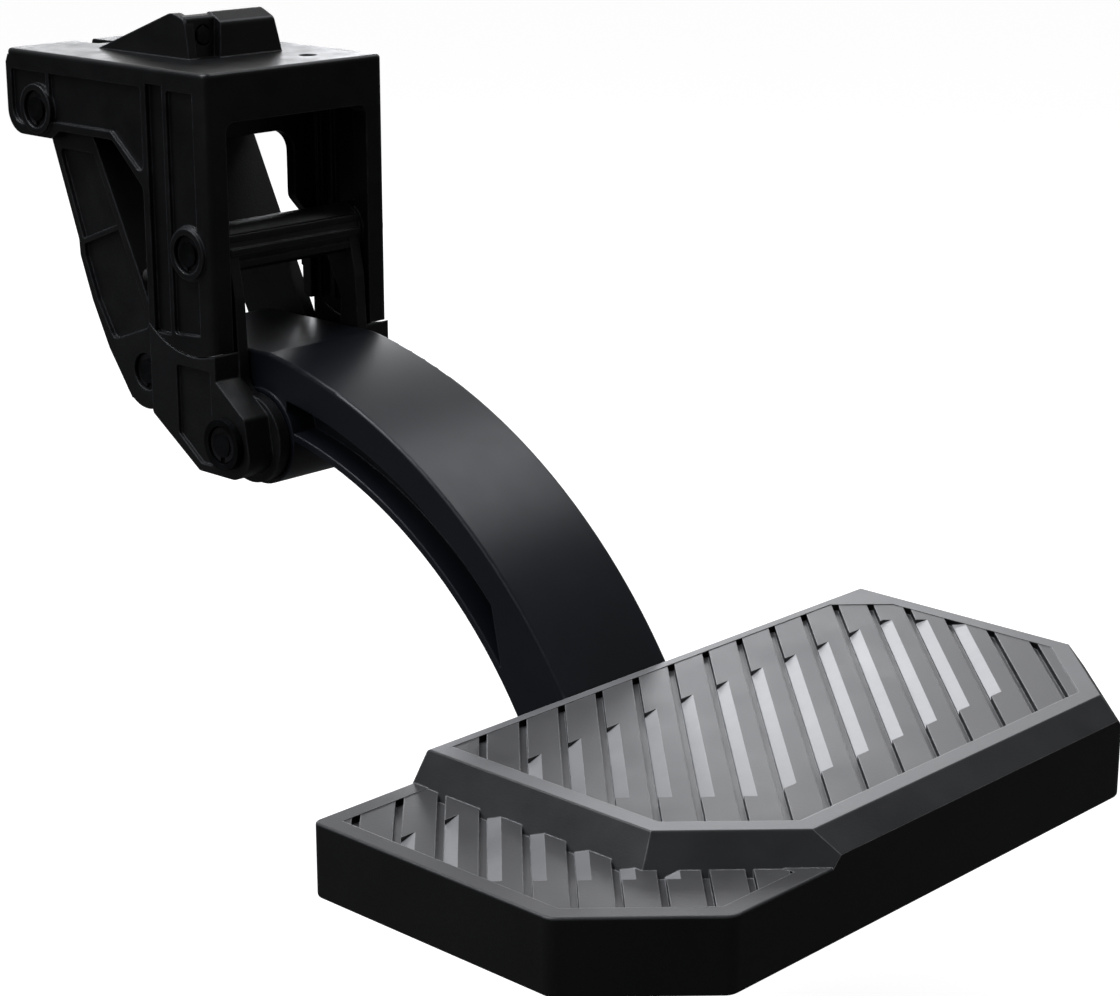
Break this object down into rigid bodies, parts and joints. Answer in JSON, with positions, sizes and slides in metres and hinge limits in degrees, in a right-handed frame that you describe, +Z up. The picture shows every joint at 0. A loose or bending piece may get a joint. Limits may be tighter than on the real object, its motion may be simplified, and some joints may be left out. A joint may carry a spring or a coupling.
{
  "type": "retractable truck bed step",
  "caption": "Under-bed step on a swinging arm: cast bracket, two links, curved arm and a two-level step pad with a diagonal barred tread.",
  "frame": {"origin": "middle of the bracket's flat top face, which is bolted up against the vehicle's frame", "axes": "+X along the step pad, +Y towards the vehicle, +Z up"},
  "size_m": [0.375, 0.553, 0.3271],
  "materials": {
    "housing_coat": "black textured powder coat on the cast bracket",
    "link_coat": "black textured powder coat on the cast links",
    "arm_coat": "smooth satin black coat on the cast arm",
    "pad_coat": "satin black cast pad with grey worn tread bars",
    "pin_steel": "black zinc on steel pins and washers",
    "ring_steel": "phosphated spring steel rings and spring",
    "bush_bronze": "sintered bronze",
    "bumper_rubber": "black moulded rubber",
    "screw_steel": "black oxide steel screws"
  },
  "bodies": {
    "housing": {"bracket_housing": "housing_coat", "upper_rear_pin": "pin_steel", "upper_front_pin": "pin_steel", "upper_rear_rings": "ring_steel", "upper_front_rings": "ring_steel", "side_washers": "bush_bronze", "torsion_spring": "ring_steel", "stop_bumpers": "bumper_rubber", "bumper_studs": "screw_steel", "clamp_bolt": "screw_steel", "clamp_nut": "screw_steel"},
    "rear_link": {"rear_link": "link_coat", "upper_rear_bushes": "bush_bronze", "lower_rear_pin": "pin_steel", "lower_rear_rings": "ring_steel"},
    "front_link": {"front_link": "link_coat", "upper_front_bushes": "bush_bronze"},
    "arm": {"swing_arm": "arm_coat", "step_pad": "pad_coat", "lower_rear_bushes": "bush_bronze", "lower_front_pin": "pin_steel", "lower_front_rings": "ring_steel", "lower_front_washers": "pin_steel", "pad_screws": "screw_steel", "pad_washers": "screw_steel"}
  },
  "joints": [
    {"name": "rear_link_hinge", "type": "hinge", "parent": "housing", "child": "rear_link", "pos_m": [0, 0.054, -0.0285], "axis": [1, 0, 0], "range_deg": [0, 32]},
    {"name": "arm_hinge", "type": "hinge", "parent": "rear_link", "child": "arm", "pos_m": [0, -0.016, -0.1535], "axis": [1, 0, 0], "range_deg": [-54, 1]},
    {"name": "front_link_hinge", "type": "hinge", "parent": "housing", "child": "front_link", "pos_m": [0, -0.062, -0.087], "axis": [1, 0, 0], "range_deg": [-1, 46]}
  ],
  "couplings": [
    {"joint": "arm_hinge", "follows": "rear_link_hinge", "ratio": -1.668},
    {"joint": "front_link_hinge", "follows": "rear_link_hinge", "ratio": 1.418}
  ]
}
